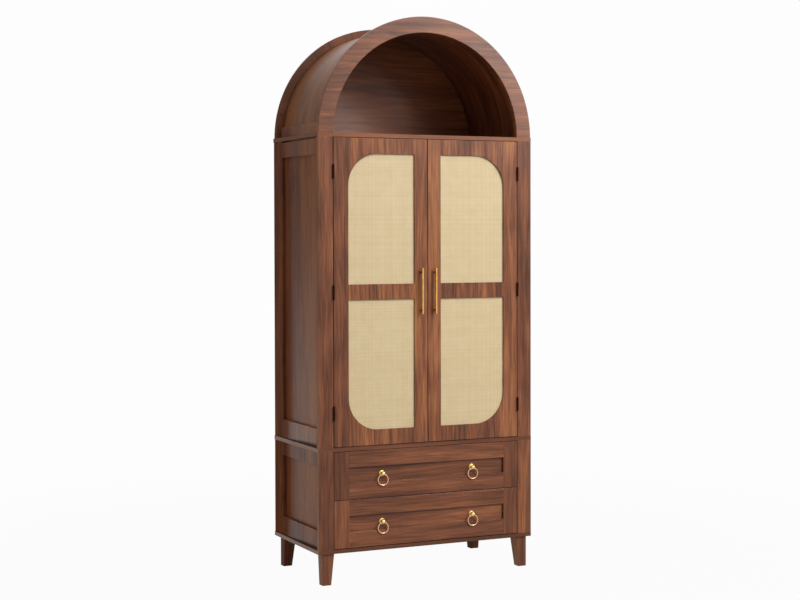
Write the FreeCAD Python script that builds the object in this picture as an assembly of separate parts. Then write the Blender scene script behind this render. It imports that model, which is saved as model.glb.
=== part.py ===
import FreeCAD, Part
import math
import os

# Tall arched cabinet in walnut veneer: tapered legs, two drawers, two cane doors
# and an open arched niche on top. Millimetres, +Z up, front towards -Y, +X to the
# viewer's right. The origin is on the floor, under the middle of the whole piece.

V = FreeCAD.Vector
SIDES = {"left": -1, "right": 1}

# Carcass boards and levels
board_width = 800.0
board_depth = 408.0
board_thick = 13.0
board_ease = 1.5
leg_height = 104.0
lower_height = 324.0
upper_height = 1025.0
cut_overrun = 5.0
near_parallel_share = 0.98

# Legs, tapered on the two inner faces only
leg_top = 42.0
leg_foot = 31.0
leg_inset = 16.0
leg_front_setback = 7.0
leg_back_setback = 16.0
leg_ease = 2.0
leg_bolt_diameter = 8.0
leg_bolt_grip = 40.0
leg_bolt_head = 16.0
leg_bolt_head_thick = 3.0
bolt_hole_clearance = 0.3

# Front posts and side walls
post_inset = 0.8
post_width = 52.7
post_thick = 18.0
wall_back_inset = 4.0
side_recess = 10.0
side_panel_thick = 12.0
rear_stile_width = 80.0
upper_side_top_rail = 51.0
upper_side_gap = 6.0
upper_side_bottom_rail = 65.0
lower_side_top_rail = 45.0
lower_side_bottom_rail = 66.0
back_panel_thick = 9.0
back_panel_inset = 6.0

# Arch over the niche
ring_inset = 2.6
ring_width = 54.4
ring_thick = 18.0
ring_ease = 1.5
hoop_depth = 18.0
vault_recess = 25.5
vault_thick = 8.0
apron_height = 38.0
apron_proud = 7.5

# Shelves behind the doors
shelf_thick = 15.0
shelf_setback = 42.0
shelf_play = 1.0
first_shelf_rise = 340.0
second_shelf_rise = 680.0
shelf_pin_diameter = 5.0
shelf_pin_sink = 8.0
shelf_pin_reach = 9.0
shelf_pin_setback = 45.0
shelf_pin_play = 0.05

# Doors
door_thick = 18.0
door_hinge_gap = 2.4
door_end_gap = 2.0
door_meeting_gap = 2.5
door_hinge_stile = 53.0
door_meeting_stile = 48.0
door_rail = 52.0
cane_corner_radius = 107.0
cane_recess = 5.0
cane_thick = 4.0
cane_rebate = 8.0
cane_play = 0.5

# Butt hinges, three to a door
hinge_height = 48.0
hinge_end_distance = 112.0
hinge_leaf_thick = 1.0
hinge_leaf_width = 15.0
knuckle_radius = 3.2
knuckle_stand_off = 0.2
knuckle_play = 0.3
hinge_pin_radius = 1.2
hinge_pin_play = 0.05
middle_knuckle_height = 16.0

# Bar handles
handle_length = 154.0
handle_bar_diameter = 8.0
handle_reach = 18.0
handle_post_diameter = 6.5
handle_post_spacing = 128.0
handle_end_ease = 1.0

# Magnetic catches under the top board
catch_width = 46.0
catch_depth = 14.0
catch_height = 13.0
catch_centre = 48.0
catch_plate_thick = 1.5
catch_plate_height = 14.0
catch_plate_drop = 1.0
catch_gap = 0.3

# Drawers
drawer_side_gap = 2.0
drawer_level_gap = 2.0
drawer_stile = 54.0
drawer_rail = 53.0
drawer_frame_thick = 8.0
drawer_panel_thick = 12.0
drawer_back_clearance = 15.0
drawer_box_height = 110.0
drawer_box_rise = 20.0
drawer_wall = 12.0
drawer_bottom_thick = 5.0
drawer_bottom_rise = 8.0
drawer_groove = 5.0
drawer_groove_play = 0.3

# Drawer runners
runner_space = 12.0
runner_height = 40.0
runner_channel_depth = 10.0
runner_wall = 2.0
runner_play = 0.3
runner_setback = 3.0
runner_end_setback = 2.0

# Ring pulls
pull_spacing = 338.0
rosette_radius = 10.0
rosette_thick = 3.0
stem_radius = 4.5
pull_ball_radius = 8.0
pull_front_clear = 0.8
eye_drop = 3.5
eye_play = 0.35
ring_radius = 18.2
ring_wire_radius = 2.2

# Places worked out from the sizes above
front_y = (handle_reach - board_depth) / 2
back_y = front_y + board_depth
wall_back = back_y - wall_back_inset
base_top = leg_height + board_thick
mid_bottom = base_top + lower_height
mid_top = mid_bottom + board_thick
top_bottom = mid_top + upper_height
spring_z = top_bottom + board_thick
post_outer = board_width / 2 - post_inset
opening_half = post_outer - post_width
post_back = front_y + post_thick
panel_outer = post_outer - side_recess
panel_inner = panel_outer - side_panel_thick
back_panel_back = back_y - back_panel_inset
back_panel_front = back_panel_back - back_panel_thick
ring_outer = board_width / 2 - ring_inset
vault_outer = ring_outer - vault_recess
vault_inner = vault_outer - vault_thick
ring_inner = ring_outer - ring_width

door_back = front_y + door_thick
door_low = mid_top + door_end_gap
door_high = top_bottom - door_end_gap
door_outer = opening_half - door_hinge_gap
door_inner = door_meeting_gap / 2
door_mid = (door_low + door_high) / 2
cane_outer = door_outer - door_hinge_stile
cane_inner = door_inner + door_meeting_stile
handle_x = (door_inner + cane_inner) / 2
pin_x = opening_half - door_hinge_gap / 2
pin_y = front_y - knuckle_radius - knuckle_stand_off
hinge_levels = (door_low + hinge_end_distance, door_mid, door_high - hinge_end_distance)

drawer_half = opening_half - drawer_side_gap
drawer_front_height = (lower_height - 3 * drawer_level_gap) / 2
drawer_levels = {
    "lower": base_top + drawer_level_gap,
    "upper": mid_bottom - drawer_level_gap - drawer_front_height,
}
drawer_panel_front = front_y + drawer_frame_thick
drawer_panel_back = drawer_panel_front + drawer_panel_thick
drawer_box_back = back_panel_front - drawer_back_clearance
drawer_box_outer = opening_half - runner_space
drawer_box_inner = drawer_box_outer - drawer_wall
eye_y = front_y - pull_front_clear - ring_wire_radius


def block(xs, ys, zs):
    """Rectangular solid between the two values given on each axis."""
    low = V(min(xs), min(ys), min(zs))
    return Part.makeBox(abs(xs[1] - xs[0]), abs(ys[1] - ys[0]), abs(zs[1] - zs[0]), low)


def rod(radius, start, end):
    """Round bar between two points."""
    return Part.makeCylinder(radius, (end - start).Length, start, end - start)


def bundle(solids):
    """Several separate solids as one shape."""
    return Part.makeCompound(solids)


def edges_along(shape, axis):
    """Straight edges of a shape that run along one axis."""
    found = []
    for edge in shape.Edges:
        if isinstance(edge.Curve, Part.Line):
            way = edge.tangentAt(edge.FirstParameter)
            if abs(way.dot(axis)) > near_parallel_share:
                found.append(edge)
    return found


def export(name, shape):
    """Write one named piece."""
    shape.exportStep("parts/" + name + ".step")


def carcass_board(bottom):
    """Board across the whole cabinet, with its upright corners eased."""
    half = board_width / 2
    board = block((-half, half), (front_y, back_y), (bottom, bottom + board_thick))
    return board.makeFillet(board_ease, edges_along(board, V(0, 0, 1)))


def leg_corner(side, front):
    """Outer corner of a leg in plan, and the way from there towards the leg's middle."""
    x = side * (board_width / 2 - leg_inset)
    y = front_y + leg_front_setback if front else back_y - leg_back_setback
    return V(x, y, 0), V(-side, 1 if front else -1, 0)


def leg_square(side, front, size):
    """Two ranges in plan of a square that grows from the outer corner of a leg."""
    corner, inward = leg_corner(side, front)
    far = corner + inward * size
    return sorted((corner.x, far.x)), sorted((corner.y, far.y))


def leg_bolt_axis(side, front):
    """Plan position of the bolt that holds a leg."""
    corner, inward = leg_corner(side, front)
    return corner + inward * (leg_foot / 2)


def leg(side, front):
    """Leg with two upright outer faces and two tapered inner ones."""
    foot_xs, foot_ys = leg_square(side, front, leg_foot)
    top_xs, top_ys = leg_square(side, front, leg_top)
    shape = Part.makeWedge(
        foot_xs[0], 0, -foot_ys[1], -top_ys[1], top_xs[0],
        foot_xs[1], leg_height, -foot_ys[0], -top_ys[0], top_xs[1],
    )
    shape.rotate(V(0, 0, 0), V(1, 0, 0), 90)
    shape = shape.makeFillet(leg_ease, edges_along(shape, V(0, 0, 1)))
    bolt_low = leg_bolt_axis(side, front) + V(0, 0, leg_height - leg_bolt_grip)
    bolt_high = leg_bolt_axis(side, front) + V(0, 0, leg_height + cut_overrun)
    return shape.cut(rod(leg_bolt_diameter / 2, bolt_low, bolt_high))


def leg_bolt(side, front):
    """Bolt from the top of the base board down into a leg, with its head sunk flush."""
    axis = leg_bolt_axis(side, front)
    seat = axis + V(0, 0, base_top - leg_bolt_head_thick)
    shank = rod(leg_bolt_diameter / 2, axis + V(0, 0, leg_height - leg_bolt_grip), seat)
    head = rod(leg_bolt_head / 2, seat, axis + V(0, 0, base_top))
    return shank.fuse(head).removeSplitter()


def base_board():
    """Lowest board, with a counterbored hole for each leg bolt."""
    board = carcass_board(leg_height)
    for side in SIDES.values():
        for front in (True, False):
            axis = leg_bolt_axis(side, front)
            low = axis + V(0, 0, leg_height - cut_overrun)
            seat = axis + V(0, 0, base_top - leg_bolt_head_thick)
            high = axis + V(0, 0, base_top + cut_overrun)
            board = board.cut(rod(leg_bolt_diameter / 2 + bolt_hole_clearance, low, high))
            board = board.cut(rod(leg_bolt_head / 2 + bolt_hole_clearance, seat, high))
    return board


def post(side, low, high):
    """Upright beside the doors or the drawers."""
    return block((side * opening_half, side * post_outer), (front_y, post_back), (low, high))


def side_panel(side, low, high, pin_points=()):
    """Recessed side wall, drilled on its inner face for shelf pins."""
    panel = block((side * panel_inner, side * panel_outer), (post_back, wall_back), (low, high))
    for point in pin_points:
        start = V(side * (panel_inner - cut_overrun), point.y, point.z)
        end = V(side * (panel_inner + shelf_pin_sink), point.y, point.z)
        panel = panel.cut(rod(shelf_pin_diameter / 2 + shelf_pin_play, start, end))
    return panel


def side_frame(side, low, high, bottom_rail, top_rail, top_gap=0.0):
    """Rear stile and two rails on the outside of a side wall, with a gap over the top rail."""
    xs = (side * panel_outer, side * post_outer)
    stile_front = wall_back - rear_stile_width
    rail_top = high - top_gap
    return [
        block(xs, (stile_front, wall_back), (low, high)),
        block(xs, (post_back, stile_front), (low, low + bottom_rail)),
        block(xs, (post_back, stile_front), (rail_top - top_rail, rail_top)),
    ]


def back_panel(low, high):
    """Flat back between the side walls."""
    return block((-panel_inner, panel_inner), (back_panel_front, back_panel_back), (low, high))


def arc_edge(radius, y):
    """Half circle over the top board, from left to right."""
    left = V(-radius, y, spring_z)
    right = V(radius, y, spring_z)
    return Part.Arc(left, V(0, y, spring_z + radius), right).toShape()


def half_ring(outer, inner, y_low, y_high):
    """Half round band that stands on the top board."""
    left = Part.LineSegment(V(-outer, y_low, spring_z), V(-inner, y_low, spring_z)).toShape()
    right = Part.LineSegment(V(outer, y_low, spring_z), V(inner, y_low, spring_z)).toShape()
    outline = Part.Wire(Part.sortEdges([arc_edge(outer, y_low), arc_edge(inner, y_low), left, right])[0])
    return Part.Face(outline).extrude(V(0, y_high - y_low, 0))


def front_ring():
    """Face ring of the niche, with its two front edges eased."""
    ring = half_ring(ring_outer, ring_inner, front_y, front_y + ring_thick)
    arcs = [edge for edge in ring.Edges if isinstance(edge.Curve, Part.Circle)]
    front_arcs = [edge for edge in arcs if edge.CenterOfMass.y < front_y + ring_ease]
    return ring.makeFillet(ring_ease, front_arcs)


def apron(side):
    """Low band along the foot of the vault, from the ring to the hoop."""
    band = half_ring(vault_outer + apron_proud, vault_outer, front_y + ring_thick, wall_back - hoop_depth)
    keep = block((0, side * board_width), (front_y, back_y), (spring_z, spring_z + apron_height))
    return band.common(keep)


def niche_back():
    """Half round back of the niche, inside the vault."""
    left = V(-vault_inner, back_panel_front, spring_z)
    right = V(vault_inner, back_panel_front, spring_z)
    chord = Part.LineSegment(left, right).toShape()
    outline = Part.Wire([arc_edge(vault_inner, back_panel_front), chord])
    return Part.Face(outline).extrude(V(0, back_panel_thick, 0))


def shelf_pin_points():
    """Depth and height of every shelf pin."""
    points = []
    for rise in (first_shelf_rise, second_shelf_rise):
        for y in (front_y + shelf_setback + shelf_pin_setback, back_panel_front - shelf_pin_setback):
            points.append(V(0, y, mid_top + rise - shelf_pin_diameter / 2))
    return points


def shelf(rise):
    """Loose shelf that lies on its pins."""
    half = panel_inner - shelf_play
    depth = (front_y + shelf_setback, back_panel_front - shelf_play)
    return block((-half, half), depth, (mid_top + rise, mid_top + rise + shelf_thick))


def shelf_pin(side, point):
    """Pin in a side wall, under a shelf."""
    start = V(side * (panel_inner + shelf_pin_sink), point.y, point.z)
    end = V(side * (panel_inner - shelf_pin_reach), point.y, point.z)
    return rod(shelf_pin_diameter / 2, start, end)


def cane_prism(side, near_z, far_z, grow, y_low, y_high):
    """Cane field with its outer far corner rounded, grown by a margin and given a depth."""
    up = 1 if near_z > far_z else -1
    far = V(side * (cane_outer + grow), y_low, far_z - up * grow)
    near = V(side * (cane_inner - grow), y_low, near_z + up * grow)
    radius = cane_corner_radius + grow
    centre = V(far.x - side * radius, y_low, far.z + up * radius)
    diagonal = radius / math.sqrt(2)
    arc_start = V(far.x, y_low, centre.z)
    arc_mid = V(centre.x + side * diagonal, y_low, centre.z - up * diagonal)
    arc_end = V(centre.x, y_low, far.z)
    edges = [
        Part.LineSegment(V(far.x, y_low, near.z), arc_start).toShape(),
        Part.Arc(arc_start, arc_mid, arc_end).toShape(),
        Part.LineSegment(arc_end, V(near.x, y_low, far.z)).toShape(),
        Part.LineSegment(V(near.x, y_low, far.z), near).toShape(),
        Part.LineSegment(near, V(far.x, y_low, near.z)).toShape(),
    ]
    return Part.Face(Part.Wire(edges)).extrude(V(0, y_high - y_low, 0))


def cane_fields():
    """Levels of the two cane fields: the edge at the middle rail and the rounded far edge."""
    half_rail = door_rail / 2
    return {
        "upper": (door_mid + half_rail, door_high - door_rail),
        "lower": (door_mid - half_rail, door_low + door_rail),
    }


def door_frame(side):
    """Door routed from one board, with two windows and a rebate behind each."""
    frame = block((side * door_inner, side * door_outer), (front_y, door_back), (door_low, door_high))
    for near_z, far_z in cane_fields().values():
        window = cane_prism(side, near_z, far_z, 0, front_y - cut_overrun, door_back + cut_overrun)
        rebate = cane_prism(side, near_z, far_z, cane_rebate, front_y + cane_recess, door_back + cut_overrun)
        frame = frame.cut(window).cut(rebate)
    return frame


def cane_sheet(side, near_z, far_z):
    """Woven cane on its backing, seated in the rebate of a window."""
    low = front_y + cane_recess
    return cane_prism(side, near_z, far_z, cane_rebate - cane_play, low, low + cane_thick)


def handle(side):
    """Round bar on two short posts."""
    x = side * handle_x
    bar_y = front_y - handle_reach + handle_bar_diameter / 2
    low = V(x, bar_y, door_mid - handle_length / 2)
    high = V(x, bar_y, door_mid + handle_length / 2)
    bar = rod(handle_bar_diameter / 2, low, high)
    bar = bar.makeFillet(handle_end_ease, [e for e in bar.Edges if isinstance(e.Curve, Part.Circle)])
    for way in (-1, 1):
        z = door_mid + way * handle_post_spacing / 2
        bar = bar.fuse(rod(handle_post_diameter / 2, V(x, front_y, z), V(x, bar_y, z)))
    return bar.removeSplitter()


def knuckle_spans(level, on_door):
    """Heights that the knuckles of one leaf take up."""
    half = hinge_height / 2
    half_middle = middle_knuckle_height / 2
    if on_door:
        return [(level - half_middle, level + half_middle)]
    return [
        (level - half, level - half_middle - knuckle_play),
        (level + half_middle + knuckle_play, level + half),
    ]


def hinge_leaf(side, level, on_door):
    """Flat leaf in the door gap with its knuckles in front of it."""
    edge_x = side * (door_outer if on_door else opening_half)
    leaf_way = side if on_door else -side
    xs = (edge_x, edge_x + leaf_way * hinge_leaf_thick)
    half = hinge_height / 2
    leaf = block(xs, (front_y, front_y + hinge_leaf_width), (level - half, level + half))
    bore = hinge_pin_radius + (hinge_pin_play if on_door else 0)
    for low, high in knuckle_spans(level, on_door):
        start = V(side * pin_x, pin_y, low)
        end = V(side * pin_x, pin_y, high)
        knuckle = rod(knuckle_radius, start, end).fuse(block(xs, (pin_y, front_y), (low, high)))
        leaf = leaf.fuse(knuckle).cut(rod(bore, start, end))
    return leaf.removeSplitter()


def hinge_pin(side, level):
    """Pin through the three knuckles of one hinge."""
    half = hinge_height / 2
    return rod(hinge_pin_radius, V(side * pin_x, pin_y, level - half), V(side * pin_x, pin_y, level + half))


def catch_span(side):
    """Width that a catch and its plate take up."""
    return (side * catch_centre - catch_width / 2, side * catch_centre + catch_width / 2)


def catch(side):
    """Magnetic catch under the top board, just behind a door."""
    front = door_back + catch_plate_thick + catch_gap
    return block(catch_span(side), (front, front + catch_depth), (top_bottom - catch_height, top_bottom))


def catch_plate(side):
    """Steel plate on the inside of a door, which the catch holds."""
    high = door_high - catch_plate_drop
    ys = (door_back, door_back + catch_plate_thick)
    return block(catch_span(side), ys, (high - catch_plate_height, high))


def drawer_panel(low):
    """Plain board behind the frame of a drawer front."""
    ys = (drawer_panel_front, drawer_panel_back)
    return block((-drawer_half, drawer_half), ys, (low, low + drawer_front_height))


def drawer_frame(low):
    """Two stiles and two rails on the face of a drawer front."""
    high = low + drawer_front_height
    ys = (front_y, drawer_panel_front)
    inner = drawer_half - drawer_stile
    pieces = []
    for side in SIDES.values():
        pieces.append(block((side * inner, side * drawer_half), ys, (low, high)))
    pieces.append(block((-inner, inner), ys, (low, low + drawer_rail)))
    pieces.append(block((-inner, inner), ys, (high - drawer_rail, high)))
    return pieces


def drawer_floor_z(low):
    """Underside of a drawer's bottom board."""
    return low + drawer_box_rise + drawer_bottom_rise


def drawer_box(low):
    """Grooved side walls of a drawer and the back that stands on its bottom board."""
    box_low = low + drawer_box_rise
    zs = (box_low, box_low + drawer_box_height)
    floor = drawer_floor_z(low)
    floor_top = floor + drawer_bottom_thick
    walls = []
    for side in SIDES.values():
        ys = (drawer_panel_back, drawer_box_back)
        wall = block((side * drawer_box_inner, side * drawer_box_outer), ys, zs)
        slot_xs = (side * (drawer_box_inner - cut_overrun), side * (drawer_box_inner + drawer_groove))
        slot_ys = (drawer_panel_back - cut_overrun, drawer_box_back + cut_overrun)
        walls.append(wall.cut(block(slot_xs, slot_ys, (floor, floor_top))))
    back_ys = (drawer_box_back - drawer_wall, drawer_box_back)
    walls.append(block((-drawer_box_inner, drawer_box_inner), back_ys, (floor_top, zs[1])))
    return walls


def drawer_bottom(low):
    """Thin board slid into the grooves of the side walls, under the back."""
    half = drawer_box_inner + drawer_groove - drawer_groove_play
    floor = drawer_floor_z(low)
    return block((-half, half), (drawer_panel_back, drawer_box_back), (floor, floor + drawer_bottom_thick))


def runner_level(low):
    """Middle height of the runners of a drawer."""
    return low + drawer_box_rise + drawer_box_height / 2


def runner_span():
    """Depth that the runners take up."""
    return (drawer_panel_back + runner_setback, drawer_box_back - runner_end_setback)


def runner_spacer(side, low):
    """Packing strip that brings a runner out to the line of the post."""
    level = runner_level(low)
    zs = (level - runner_height / 2, level + runner_height / 2)
    return block((side * opening_half, side * panel_inner), runner_span(), zs)


def runner_channel(side, low):
    """Fixed steel channel, open towards the drawer."""
    level = runner_level(low)
    half = runner_height / 2
    mouth_x = opening_half - runner_channel_depth
    channel = block((side * mouth_x, side * opening_half), runner_span(), (level - half, level + half))
    slot_xs = (side * (mouth_x - cut_overrun), side * (opening_half - runner_wall))
    slot_ys = (runner_span()[0] - cut_overrun, runner_span()[1] + cut_overrun)
    slot_half = half - runner_wall
    return channel.cut(block(slot_xs, slot_ys, (level - slot_half, level + slot_half)))


def runner_slide(side, low):
    """Moving bar on a drawer wall that runs inside the channel."""
    level = runner_level(low)
    half = runner_height / 2 - runner_wall - runner_play
    xs = (side * drawer_box_outer, side * (opening_half - runner_wall - runner_play))
    return block(xs, runner_span(), (level - half, level + half))


def eye_half_width():
    """Half the length of the eye bored through the ball of a pull."""
    return math.sqrt(pull_ball_radius ** 2 - eye_drop ** 2)


def ring_sag():
    """How far the ring bends away within the eye."""
    return ring_radius - math.sqrt(ring_radius ** 2 - eye_half_width() ** 2)


def pull_points(low):
    """Centres of the two rosettes on a drawer."""
    z = low + drawer_front_height / 2
    return {name: V(side * pull_spacing / 2, drawer_panel_front, z) for name, side in SIDES.items()}


def pull_knob(point):
    """Rosette, stem and ball turned in one piece, with an eye bored across the ball."""
    ball_y = eye_y - point.y
    neck = ball_y + math.sqrt(pull_ball_radius ** 2 - stem_radius ** 2)
    rim_y = -rosette_thick
    tip = V(0, ball_y - pull_ball_radius, 0)
    edges = [
        Part.LineSegment(V(0, 0, 0), V(rosette_radius, 0, 0)).toShape(),
        Part.LineSegment(V(rosette_radius, 0, 0), V(rosette_radius, rim_y / 2, 0)).toShape(),
        Part.LineSegment(V(rosette_radius, rim_y / 2, 0), V(stem_radius, rim_y, 0)).toShape(),
        Part.LineSegment(V(stem_radius, rim_y, 0), V(stem_radius, neck, 0)).toShape(),
        Part.Arc(V(stem_radius, neck, 0), V(pull_ball_radius, ball_y, 0), tip).toShape(),
        Part.LineSegment(tip, V(0, 0, 0)).toShape(),
    ]
    knob = Part.Face(Part.Wire(edges)).revolve(V(0, 0, 0), V(0, 1, 0), 360)
    knob.translate(point)
    eye_radius = ring_wire_radius + ring_sag() / 2 + eye_play
    start = V(point.x - pull_ball_radius, eye_y, point.z - eye_drop)
    end = V(point.x + pull_ball_radius, eye_y, point.z - eye_drop)
    return knob.cut(rod(eye_radius, start, end))


def pull_ring(point):
    """Ring that hangs in the eye of a pull."""
    centre = V(point.x, eye_y, point.z - eye_drop + ring_sag() / 2 - ring_radius)
    return Part.makeTorus(ring_radius, ring_wire_radius, centre, V(0, 1, 0))


def export_carcass():
    """Boards, legs, posts, side walls, backs and shelves."""
    export("base_board", base_board())
    export("mid_board", carcass_board(mid_bottom))
    export("top_board", carcass_board(top_bottom))
    bolts = []
    for side_name, side in SIDES.items():
        for row_name, front in (("front", True), ("back", False)):
            export("leg_" + row_name + "_" + side_name, leg(side, front))
            bolts.append(leg_bolt(side, front))
        export("lower_post_" + side_name, post(side, base_top, mid_bottom))
        export("upper_post_" + side_name, post(side, mid_top, top_bottom))
        export("lower_side_panel_" + side_name, side_panel(side, base_top, mid_bottom))
        export("upper_side_panel_" + side_name, side_panel(side, mid_top, top_bottom, shelf_pin_points()))
    export("leg_bolts", bundle(bolts))
    lower_frames = []
    upper_frames = []
    pins = []
    for side in SIDES.values():
        lower_frames += side_frame(side, base_top, mid_bottom, lower_side_bottom_rail, lower_side_top_rail)
        rails = (upper_side_bottom_rail, upper_side_top_rail)
        upper_frames += side_frame(side, mid_top, top_bottom, *rails, upper_side_gap)
        pins += [shelf_pin(side, point) for point in shelf_pin_points()]
    export("lower_side_frames", bundle(lower_frames))
    export("upper_side_frames", bundle(upper_frames))
    export("lower_back_panel", back_panel(base_top, mid_bottom))
    export("upper_back_panel", back_panel(mid_top, top_bottom))
    export("shelves", bundle([shelf(first_shelf_rise), shelf(second_shelf_rise)]))
    export("shelf_pins", bundle(pins))


def export_arch():
    """Ring, hoop, vault, aprons and back of the niche."""
    export("arch_front_ring", front_ring())
    export("arch_back_hoop", half_ring(ring_outer, vault_outer, wall_back - hoop_depth, wall_back))
    export("arch_vault", half_ring(vault_outer, vault_inner, front_y + ring_thick, wall_back))
    export("arch_aprons", bundle([apron(side) for side in SIDES.values()]))
    export("niche_back_panel", niche_back())


def export_doors():
    """Both doors with their cane, handles, hinges and catches."""
    for name, side in SIDES.items():
        export(name + "_door_frame", door_frame(side))
        for level, (near_z, far_z) in cane_fields().items():
            export(name + "_" + level + "_cane", cane_sheet(side, near_z, far_z))
        export(name + "_handle", handle(side))
        export(name + "_door_hinge_leaves", bundle([hinge_leaf(side, z, True) for z in hinge_levels]))
        export(name + "_catch_plate", catch_plate(side))
    both = SIDES.values()
    export("post_hinge_leaves", bundle([hinge_leaf(side, z, False) for side in both for z in hinge_levels]))
    export("hinge_pins", bundle([hinge_pin(side, z) for side in both for z in hinge_levels]))
    export("door_catches", bundle([catch(side) for side in both]))


def export_drawers():
    """Both drawers with their runners and ring pulls."""
    spacers = []
    channels = []
    for name, low in drawer_levels.items():
        export(name + "_drawer_panel", drawer_panel(low))
        export(name + "_drawer_frame", bundle(drawer_frame(low)))
        export(name + "_drawer_box", bundle(drawer_box(low)))
        export(name + "_drawer_bottom", drawer_bottom(low))
        export(name + "_drawer_slides", bundle([runner_slide(side, low) for side in SIDES.values()]))
        points = pull_points(low)
        export(name + "_pull_knobs", bundle([pull_knob(point) for point in points.values()]))
        for side_name, point in points.items():
            export(name + "_ring_" + side_name, pull_ring(point))
        spacers += [runner_spacer(side, low) for side in SIDES.values()]
        channels += [runner_channel(side, low) for side in SIDES.values()]
    export("runner_spacers", bundle(spacers))
    export("runner_channels", bundle(channels))


os.makedirs("parts", exist_ok=True)
export_carcass()
export_arch()
export_doors()
export_drawers()
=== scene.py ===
# %% [markdown]
# # Arched cabinet with cane doors
# The cabinet's boards, legs, doors, drawers, hinges and pulls already exist as a
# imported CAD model. This lesson loads that model, gives each piece a finish, adds the
# woven cane and the small screws that CAD leaves out, and sets up the studio.

# %% Load the cabinet
import bmesh
import bpy
import math
from mathutils import Matrix, Vector


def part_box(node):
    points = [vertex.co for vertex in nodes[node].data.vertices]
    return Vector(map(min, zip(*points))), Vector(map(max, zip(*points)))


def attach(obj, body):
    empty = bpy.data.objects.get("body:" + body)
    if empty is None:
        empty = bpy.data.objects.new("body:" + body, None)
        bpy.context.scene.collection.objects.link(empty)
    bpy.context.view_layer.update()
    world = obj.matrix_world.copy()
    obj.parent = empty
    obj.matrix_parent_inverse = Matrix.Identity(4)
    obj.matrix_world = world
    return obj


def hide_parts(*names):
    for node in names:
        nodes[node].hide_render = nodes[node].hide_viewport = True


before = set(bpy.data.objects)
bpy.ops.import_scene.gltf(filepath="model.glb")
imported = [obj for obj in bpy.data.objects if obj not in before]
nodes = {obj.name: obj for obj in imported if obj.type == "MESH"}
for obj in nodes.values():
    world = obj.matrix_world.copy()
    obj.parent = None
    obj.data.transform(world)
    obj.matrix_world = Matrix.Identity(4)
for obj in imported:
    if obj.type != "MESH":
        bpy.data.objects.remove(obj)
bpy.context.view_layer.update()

scene = bpy.context.scene

# %% [markdown]
# ## Node helpers
# A procedural finish is a small graph of nodes. Building it with a few helpers that
# return sockets lets each material read like a formula: a number or another socket
# can go into any input.

# %% Helpers for sums and noise
def feed(tree, value, target):
    """Set an input to a number, or link another node's output to it."""
    if isinstance(value, bpy.types.NodeSocket):
        tree.links.new(value, target)
    else:
        target.default_value = value


def calc(tree, operation, *values):
    """One Math node, returned as its output."""
    node = tree.nodes.new("ShaderNodeMath")
    node.operation = operation
    for value, target in zip(values, node.inputs):
        feed(tree, value, target)
    return node.outputs[0]


def vector(tree, x, y, z):
    """Three values joined into one vector."""
    node = tree.nodes.new("ShaderNodeCombineXYZ")
    for value, target in zip((x, y, z), node.inputs):
        feed(tree, value, target)
    return node.outputs[0]


def cloud(tree, place, detail=2.0, rough=0.5):
    """Smooth noise at a place, from 0 to 1 and mostly near a half."""
    node = tree.nodes.new("ShaderNodeTexNoise")
    node.inputs["Scale"].default_value = 1.0
    node.inputs["Detail"].default_value = detail
    node.inputs["Roughness"].default_value = rough
    tree.links.new(place, node.inputs["Vector"])
    return node.outputs["Fac"]


def remap(tree, value, low, high, to_low=0.0, to_high=1.0):
    """Smooth step from one range to another."""
    node = tree.nodes.new("ShaderNodeMapRange")
    node.interpolation_type = "SMOOTHSTEP"
    feed(tree, value, node.inputs["Value"])
    ends = {"From Min": low, "From Max": high, "To Min": to_low, "To Max": to_high}
    for name, number in ends.items():
        node.inputs[name].default_value = number
    return node.outputs["Result"]


def choose(tree, factor, first, second):
    """Blend of two numbers: the first at factor 0, the second at factor 1."""
    node = tree.nodes.new("ShaderNodeMix")
    feed(tree, factor, node.inputs["Factor"])
    feed(tree, first, node.inputs["A"])
    feed(tree, second, node.inputs["B"])
    return node.outputs["Result"]


print("helpers for sums and noise ready")

# %% [markdown]
# ## Colours and empty materials
# Colours are easiest to compare as the hex codes that a screen shows, but shaders add
# light in linear values, so one helper converts them. Every finish here starts from the
# same empty material, which reads Object coordinates: metres in the cabinet's own frame.

# %% Helpers for colour and materials
HEX_PAIRS = (0, 2, 4)


def srgb(hex_colour):
    """Linear colour with alpha from a hex colour such as 855640."""
    values = [int(hex_colour[k:k + 2], 16) / 255.0 for k in HEX_PAIRS]
    linear = [v / 12.92 if v <= 0.04045 else ((v + 0.055) / 1.055) ** 2.4 for v in values]
    return (*linear, 1.0)


def ramp(tree, factor, stops):
    """Colour ramp from a list of (position, hex colour)."""
    node = tree.nodes.new("ShaderNodeValToRGB")
    elements = node.color_ramp.elements
    while len(elements) < len(stops):
        elements.new(0.5)
    for element, (position, colour) in zip(elements, stops):
        element.position = position
        element.color = srgb(colour)
    tree.links.new(factor, node.inputs["Fac"])
    return node.outputs["Color"]


def fresh_material(name):
    """Empty material with its shader: gives the tree, the shader and X, Y, Z of the surface."""
    material = bpy.data.materials.new(name)
    material.use_nodes = True
    tree = material.node_tree
    shader = tree.nodes["Principled BSDF"]
    place = tree.nodes.new("ShaderNodeTexCoord")
    split = tree.nodes.new("ShaderNodeSeparateXYZ")
    tree.links.new(place.outputs["Object"], split.inputs["Vector"])
    return material, tree, shader, list(split.outputs)


def relief(tree, shader, height, strength, depth):
    """Bump from a height, in metres of depth."""
    node = tree.nodes.new("ShaderNodeBump")
    node.inputs["Strength"].default_value = strength
    node.inputs["Distance"].default_value = depth
    tree.links.new(height, node.inputs["Height"])
    tree.links.new(node.outputs["Normal"], shader.inputs["Normal"])


print("mid grey is", round(srgb("808080")[0], 3), "in linear light")

# %% [markdown]
# ## Walnut figure
# Walnut shows several things at once: broad bands of lighter and darker heartwood, growth
# rings that wander and close into arches, and fine fibres with open pores. An image
# would repeat from board to board, so the figure is worked out from two coordinates,
# one along the grain and one across it, and each board gets a seed of its own.

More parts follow.
